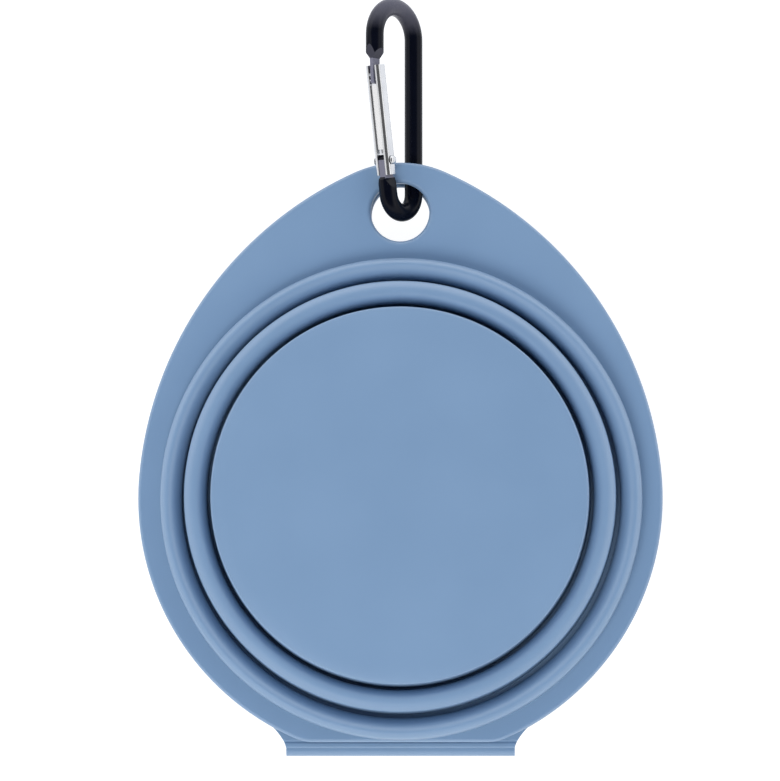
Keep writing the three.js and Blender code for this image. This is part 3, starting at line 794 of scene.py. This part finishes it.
# %% Drill the gate
def drill(radius, start, end):
    """A round cutter between two points, given in millimetres."""
    start_clean()
    line = Vector(end) - Vector(start)
    bpy.ops.mesh.primitive_cylinder_add(
        vertices=32, radius=radius * MM, depth=line.length * MM,
        location=(Vector(start) + Vector(end)) / 2 * MM,
        rotation=line.to_track_quat("Z", "Y").to_euler(),
    )
    return bpy.context.active_object


RIVET, RIVET_ROOM = 0.7, 0.15
BORE, BORE_START, BORE_END = 0.9, 1, 10.02
combine(gate, drill(BORE, (0, BORE_START, 0), (0, BORE_END, 0)), "DIFFERENCE")
combine(gate, drill(RIVET + RIVET_ROOM, (0, 0, -REACH), (0, 0, REACH)), "DIFFERENCE")
softened(gate, width=0.12, angle=40)
even_shading(gate, angle=30)
tell(gate)

# %% Mark the polished channel
FLOOR_NEAR, FLOOR_FACING = 0.05, 0.9
polished = gate.data.attributes.new("polished", "FLOAT", "FACE")
for face in gate.data.polygons:
    on_floor = abs(face.center.x / MM - channel_floor) < FLOOR_NEAR
    polished.data[face.index].value = float(on_floor and face.normal.x > FLOOR_FACING)
print(sum(value.value > 0 for value in polished.data), "polished faces")
put(gate, at_pivot)
tell(gate)

# %% [markdown]
# ## Rivet and latch pin
#
# The rivet is the gate's pivot, with a low dome pressed on at each side. The latch pin crosses the
# upper slot, and its ends show as small dots on the gate's sides. Both are turned parts, so both
# are spun.

# %% Model the rivet and the pin
def both_ends(half_profile):
    """The whole profile of a turned part that is alike above and below its middle."""
    return half_profile + [(radius, -up) for radius, up in reversed(half_profile)]


HEAD, HEAD_START, HEAD_END, HEAD_EDGE = 1.1, 2.5, 3.1, 0.1
dome = oval((0, HEAD_START + HEAD_EDGE), HEAD, HEAD_END - HEAD_START - HEAD_EDGE)
half_rivet = [*dome, (HEAD, HEAD_START), (RIVET, HEAD_START)]
rivet = spun("gate_rivet_form", both_ends(half_rivet), closed=False, steps=40, middle=0)
put(rivet, at_pivot)
half_pin = [(0, 2.24), (0.3, 2.24), (0.44, 2.18), (PIN, 2.08)]
latch_pin = spun("latch_pin_form", both_ends(half_pin), closed=False, steps=32, middle=0)
put(latch_pin, at_pivot @ Matrix.Translation((0, LATCH_ALONG * MM, 0)))

# %% [markdown]
# ## Who moves with whom
#
# Rigid pieces ride on one body. The webs and the fold cross a joint, and here they ride on no body.
# The spring and the plunger inside the gate stay as CAD nodes, and only get the metal's finish.


def stands_for(node):
    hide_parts(node)


silicone_pieces, black_pieces, bright_pieces = [], [rod], [gate, rivet, latch_pin]
for level, pieces in (
    ("upper", (upper_base, upper_inner_web, upper_ring, upper_outer_web, upper_panel)),
    ("lower", (lower_base, lower_inner_web, lower_ring, lower_outer_web, lower_panel)),
):
    base, inner_web, ring, outer_web, panel = pieces
    silicone_pieces += pieces
    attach(base, level + "_base")
    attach(ring, level + "_ring")
    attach(panel, level + "_panel")
    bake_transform(inner_web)
    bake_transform(outer_web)
    for piece, node in zip(pieces, ("base_cup", "inner_web", "middle_ring", "outer_web", "panel")):
        stands_for(level + "_" + node)
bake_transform(hinge_fold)
stands_for("hinge_fold")
silicone_pieces.append(hinge_fold)
for piece, body, node, slot in (
    (rod, "carabiner", "carabiner_body", "black_metal"),
    (rivet, "carabiner", "gate_rivet", "bright_metal"),
    (gate, "gate", "gate", "bright_metal"),
    (latch_pin, "gate", "latch_pin", "bright_metal"),
):
    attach(piece, body)
    stands_for(node)
bright_pieces += [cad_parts["gate_plunger"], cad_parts["gate_spring"]]
print(len(silicone_pieces) + len(black_pieces) + len(bright_pieces), "pieces ride")

# %% [markdown]
# ## Effects that the finishes share
#
# Two effects come back in more than one finish: clouds, a slow change of tone, and specks, the rare
# grains of dust that stick to silicone and to paint. Each is a node group with its own inputs, so
# that a finish sets only the scale and the amount. They read Object coordinates, which lie fast in
# the piece.


# %% Build the node groups
def new_group(name, inputs, output):
    """An empty shader group with float inputs, a vector input and one float output."""
    group = bpy.data.node_groups.new(name, "ShaderNodeTree")
    group.interface.new_socket("Vector", in_out="INPUT", socket_type="NodeSocketVector")
    for label, value in inputs:
        socket = group.interface.new_socket(label, in_out="INPUT", socket_type="NodeSocketFloat")
        socket.default_value = value
    group.interface.new_socket(output, in_out="OUTPUT", socket_type="NodeSocketFloat")
    return group, group.nodes.new("NodeGroupInput"), group.nodes.new("NodeGroupOutput")


clouds, clouds_in, clouds_out = new_group("clouds", [("Scale", 50), ("Detail", 3)], "Tone")
noise = clouds.nodes.new("ShaderNodeTexNoise")
for label in ("Vector", "Scale", "Detail"):
    clouds.links.new(clouds_in.outputs[label], noise.inputs[label])
clouds.links.new(noise.outputs["Fac"], clouds_out.inputs["Tone"])

specks, specks_in, specks_out = new_group("specks", [("Scale", 120), ("Size", 0.02)], "Mask")
cells = specks.nodes.new("ShaderNodeTexVoronoi")
specks.links.new(specks_in.outputs["Vector"], cells.inputs["Vector"])
specks.links.new(specks_in.outputs["Scale"], cells.inputs["Scale"])
near_grain = specks.nodes.new("ShaderNodeMath")
near_grain.operation = "LESS_THAN"
specks.links.new(cells.outputs["Distance"], near_grain.inputs[0])
specks.links.new(specks_in.outputs["Size"], near_grain.inputs[1])
specks.links.new(near_grain.outputs["Value"], specks_out.inputs["Mask"])
print("groups", [group.name for group in bpy.data.node_groups])

# %% [markdown]
# ## Finishes
#
# The silicone is matte and a little cloudy, with a fine moulded grain. The carabiner is painted a
# smooth black that has a slight orange peel. Its milled flats are grey, partly wear and partly a
# painted reflection, and its arch is paler, a painted sheen. The gate is bright bare metal with fine
# draw marks along its length and a polished channel. A finish could be one flat colour, but then
# every piece would look like plastic from the same mould.


# %% Helpers for finishes
def new_finish(name):
    finish = bpy.data.materials.new(name)
    finish.use_nodes = True
    nodes, links = finish.node_tree.nodes, finish.node_tree.links
    shader = nodes["Principled BSDF"]
    place = nodes.new("ShaderNodeTexCoord").outputs["Object"]
    return finish, nodes, links, shader, place


def use_group(nodes, links, group, place, **values):
    node = nodes.new("ShaderNodeGroup")
    node.node_tree = group
    links.new(place, node.inputs["Vector"])
    for label, value in values.items():
        node.inputs[label].default_value = value
    return node.outputs[0]


def marked(nodes, name):
    """The mask that a mesh carries as an attribute, which is 0 on a mesh without it."""
    node = nodes.new("ShaderNodeAttribute")
    node.attribute_name = name
    return node.outputs["Fac"]


# A mix node has sockets for values, vectors and colours. These are the places of the colours.
COLOUR_A, COLOUR_B, COLOUR_OUT = 6, 7, 2


def between(nodes, links, mask, first, second):
    """A colour between two colours, by a mask. Either colour may be another node's output."""
    mix = nodes.new("ShaderNodeMix")
    mix.data_type = "RGBA"
    links.new(mask, mix.inputs["Factor"])
    for socket, value in ((mix.inputs[COLOUR_A], first), (mix.inputs[COLOUR_B], second)):
        if isinstance(value, bpy.types.NodeSocket):
            links.new(value, socket)
        else:
            socket.default_value = (*value, 1)
    return mix.outputs[COLOUR_OUT]


NOISE_LOW, NOISE_HIGH = 0.3, 0.7


def spread_over(nodes, links, value, low, high):
    """Spreads the middle of a noise over a range."""
    node = nodes.new("ShaderNodeMapRange")
    links.new(value, node.inputs["Value"])
    node.inputs["From Min"].default_value = NOISE_LOW
    node.inputs["From Max"].default_value = NOISE_HIGH
    node.inputs["To Min"].default_value = low
    node.inputs["To Max"].default_value = high
    return node.outputs["Result"]


def bumped(nodes, links, shader, height, strength, distance):
    bump = nodes.new("ShaderNodeBump")
    bump.inputs["Strength"].default_value = strength
    bump.inputs["Distance"].default_value = distance * MM
    links.new(height, bump.inputs["Height"])
    links.new(bump.outputs["Normal"], shader.inputs["Normal"])


# %% Make the silicone
BLUE_DEEP, BLUE_PALE = (0.207, 0.316, 0.452), (0.219, 0.331, 0.470)
DUST_GREY = (0.09, 0.12, 0.17)
silicone, nodes, links, shader, place = new_finish("dusty_blue_silicone")
tone = use_group(nodes, links, clouds, place, Scale=45, Detail=4)
tinted = between(nodes, links, spread_over(nodes, links, tone, 0, 1), BLUE_DEEP, BLUE_PALE)
dust = use_group(nodes, links, specks, place, Scale=95, Size=0.009)
links.new(between(nodes, links, dust, tinted, DUST_GREY), shader.inputs["Base Color"])
links.new(spread_over(nodes, links, tone, low=0.36, high=0.41), shader.inputs["Roughness"])
shader.inputs["Specular IOR Level"].default_value = 0.95
grain = use_group(nodes, links, clouds, place, Scale=2600, Detail=2)
bumped(nodes, links, shader, grain, strength=0.12, distance=0.05)
print("made", silicone.name)

# %% Make the black coat
BLACK_DEEP, BLACK_PALE = (0.0012, 0.0020, 0.0060), (0.0022, 0.0030, 0.0080)
# The pale grey stands for wear, and for painted reflection and painted sheen
DUST_PALE, PAINTED_SHEEN_AND_WEAR_GREY = (0.03, 0.03, 0.033), (0.20, 0.19, 0.225)
black_coat, nodes, links, shader, place = new_finish("smooth_black_coat")
tone = use_group(nodes, links, clouds, place, Scale=180, Detail=2)
painted = between(nodes, links, spread_over(nodes, links, tone, 0, 1), BLACK_DEEP, BLACK_PALE)
dust = use_group(nodes, links, specks, place, Scale=260, Size=0.02)
coloured = between(nodes, links, dust, painted, DUST_PALE)
# Grey where marked: wear with a painted reflection on the milled flats, and a painted sheen on the
# arch
for name in ("wear_and_painted_reflection", "painted_sheen"):
    coloured = between(nodes, links, marked(nodes, name), coloured, PAINTED_SHEEN_AND_WEAR_GREY)
links.new(coloured, shader.inputs["Base Color"])
links.new(spread_over(nodes, links, tone, low=0.22, high=0.30), shader.inputs["Roughness"])
shader.inputs["Specular IOR Level"].default_value = 0.13
peel = use_group(nodes, links, clouds, place, Scale=900, Detail=1)
bumped(nodes, links, shader, peel, strength=0.08, distance=0.06)
print("made", black_coat.name)

# %% Make the bright metal
METAL_DEEP, METAL_PALE = (0.62, 0.63, 0.65), (0.71, 0.715, 0.73)
POLISHED, STREAK_LENGTH = (0.93, 0.93, 0.94), 28
bright_metal, nodes, links, shader, place = new_finish("bright_drawn_metal")
along_gate = nodes.new("ShaderNodeMapping")
along_gate.vector_type = "TEXTURE"
along_gate.inputs["Rotation"].default_value = at_pivot.to_euler()
along_gate.inputs["Scale"].default_value = (1, STREAK_LENGTH, 1)
links.new(place, along_gate.inputs["Vector"])
streaks = use_group(nodes, links, clouds, along_gate.outputs["Vector"], Scale=2600, Detail=3)
tone = use_group(nodes, links, clouds, place, Scale=220, Detail=2)
drawn = between(nodes, links, spread_over(nodes, links, tone, 0, 1), METAL_DEEP, METAL_PALE)
coloured = between(nodes, links, marked(nodes, "polished"), drawn, POLISHED)
links.new(coloured, shader.inputs["Base Color"])
links.new(spread_over(nodes, links, streaks, low=0.16, high=0.30), shader.inputs["Roughness"])
shader.inputs["Metallic"].default_value = 1
bumped(nodes, links, shader, streaks, strength=0.1, distance=0.03)
print("made", bright_metal.name)

# %% Dress the pieces
for pieces, finish in (
    (silicone_pieces, silicone), (black_pieces, black_coat), (bright_pieces, bright_metal)
):
    for piece in pieces:
        piece.data.materials.clear()
        piece.data.materials.append(finish)
    print(finish.name, "on", [piece.name for piece in pieces])

# %% [markdown]
# ## Floor, light and camera
#
# The object lies on a white table in a light tent. The camera sees the table as plain white, and a
# trace of the object's shadow stays in it. The tent is the world: bright near the horizon, and dark
# blue overhead, where the camera stands. That makes the sloping shoulders paler than the flat tops,
# and the grooves bluer. What the surfaces mirror is a grey version of the tent, so that the metal
# takes on no tint. A lamp alone would leave the metal nearly black. A large soft lamp from the lower
# left and a weaker one from the right do the rest.

# %% Lay the floor
FLOOR_SIZE, FLOOR_DROP = 6, 0.00005
start_clean()
bpy.ops.mesh.primitive_plane_add(size=FLOOR_SIZE, location=(0, 0, -FLOOR_DROP))
floor = bpy.context.active_object
floor.name = floor.data.name = "floor"
print("floor", [round(x, 2) for x in floor.dimensions])


# %% Paint the floor
def seen_rays(nodes, links):
    """One where the camera, a mirror or glass looks at the floor."""
    rays = nodes.new("ShaderNodeLightPath")
    total = rays.outputs["Is Camera Ray"]
    for label in ("Is Glossy Ray", "Is Transmission Ray"):
        both = nodes.new("ShaderNodeMath")
        both.operation = "MAXIMUM"
        links.new(total, both.inputs[0])
        links.new(rays.outputs[label], both.inputs[1])
        total = both.outputs[0]
    return total


TABLE_GREY, SHADOW_GREY, GLOW = (0.8, 0.8, 0.8, 1), (0.3, 0.3, 0.3, 1), 0.91
table = bpy.data.materials.new("white_table")
table.use_nodes = True
nodes, links = table.node_tree.nodes, table.node_tree.links
nodes.remove(nodes["Principled BSDF"])
matte = nodes.new("ShaderNodeBsdfDiffuse")
matte.inputs["Color"].default_value = TABLE_GREY
faint = nodes.new("ShaderNodeBsdfDiffuse")
faint.inputs["Color"].default_value = SHADOW_GREY
glow = nodes.new("ShaderNodeEmission")
glow.inputs["Strength"].default_value = GLOW
seen = nodes.new("ShaderNodeAddShader")
links.new(faint.outputs[0], seen.inputs[0])
links.new(glow.outputs[0], seen.inputs[1])
pick = nodes.new("ShaderNodeMixShader")
links.new(seen_rays(nodes, links), pick.inputs[0])
links.new(matte.outputs[0], pick.inputs[1])
links.new(seen.outputs[0], pick.inputs[2])
links.new(pick.outputs[0], nodes["Material Output"].inputs["Surface"])
floor.data.materials.append(table)
print("made", table.name)

# %% Hang the tent
TENT, BEHIND_TIP = 1.2, 2
OVERHEAD = (0.03, 0.11, 0.27)
TENT_BANDS = ((0, [0.6] * 3), (0.2, [0.65] * 3), (0.36, [1] * 3), (0.5, [1] * 3), (0.72, OVERHEAD))
world = bpy.data.worlds.new("light_tent")
bpy.context.scene.world = world
world.use_nodes = True
nodes, links = world.node_tree.nodes, world.node_tree.links
tent = nodes["Background"]
height = nodes.new("ShaderNodeSeparateXYZ")
links.new(nodes.new("ShaderNodeTexCoord").outputs["Generated"], height.inputs[0])
bands = nodes.new("ShaderNodeValToRGB")
bands.color_ramp.interpolation = "EASE"
links.new(height.outputs["Z"], bands.inputs["Fac"])
stops = bands.color_ramp.elements
given = len(stops)
for index, (place, colour) in enumerate(TENT_BANDS):
    stop = stops[index] if index < given else stops.new(place)
    stop.position, stop.color = place, (*colour, 1)
towards_tip = nodes.new("ShaderNodeMapRange")
links.new(height.outputs["Y"], towards_tip.inputs["Value"])
towards_tip.inputs["To Min"].default_value = TENT
towards_tip.inputs["To Max"].default_value = TENT * BEHIND_TIP
links.new(towards_tip.outputs["Result"], tent.inputs["Strength"])
print("tent", TENT, len(TENT_BANDS), "bands")

# %% Mirror the tent in grey, show the camera white
rays = nodes.new("ShaderNodeLightPath")
grey = nodes.new("ShaderNodeRGBToBW")
links.new(bands.outputs["Color"], grey.inputs["Color"])
mirrored = between(nodes, links, rays.outputs["Is Glossy Ray"],
                   bands.outputs["Color"], grey.outputs["Val"])
links.new(mirrored, tent.inputs["Color"])
backdrop = nodes.new("ShaderNodeBackground")
backdrop.inputs["Color"].default_value = (1, 1, 1, 1)
camera_sees = nodes.new("ShaderNodeMixShader")
links.new(rays.outputs["Is Camera Ray"], camera_sees.inputs[0])
links.new(tent.outputs[0], camera_sees.inputs[1])
links.new(backdrop.outputs[0], camera_sees.inputs[2])
links.new(camera_sees.outputs[0], nodes["World Output"].inputs["Surface"])
print("world", world.name, len(nodes), "nodes")


# %% Set the lamps
LAMP_AIM = Vector((0, 0, 0.02))


def soft_lamp(name, place, size, power):
    """A square lamp that shines at the middle of the object."""
    light = bpy.data.lights.new(name, "AREA")
    light.size, light.energy = size, power
    lamp = bpy.data.objects.new(name, light)
    bpy.context.scene.collection.objects.link(lamp)
    lamp.location = place
    lamp.rotation_euler = (LAMP_AIM - Vector(place)).to_track_quat("-Z", "Y").to_euler()
    return lamp


key = soft_lamp("key", place=(-0.27, -0.6, 0.97), size=0.65, power=7.3)
key.visible_glossy = False
soft_lamp("fill", place=(0.9, -0.1, 0.55), size=0.7, power=0.6)

# %% [markdown]
# The photograph is taken from almost straight above, a little from the fold's side and the right. The
# camera's axes are built from its line of sight, with the carabiner upwards in the picture, because
# tracking a nearly vertical line would roll the camera.

# %% Place the camera
EYE, AIM = Vector((0.0224, -0.0755, 1.268)), Vector((-0.00252, 0.0266, 0.0208))
LENS, SENSOR, CLIP_START = 231.5, 36, 0.01
forward = (AIM - EYE).normalized()
right = forward.cross(Vector((0, 1, 0))).normalized()
turn = Matrix((right, right.cross(forward), -forward)).transposed()
camera = bpy.data.objects.new("camera", bpy.data.cameras.new("camera"))
bpy.context.scene.collection.objects.link(camera)
camera.matrix_world = Matrix.Translation(EYE) @ turn.to_4x4()
camera.data.lens, camera.data.sensor_width = LENS, SENSOR
camera.data.clip_start = CLIP_START
bpy.context.scene.camera = camera
bpy.context.scene.view_settings.view_transform = "Standard"
print("camera at", [round(x, 3) for x in EYE])
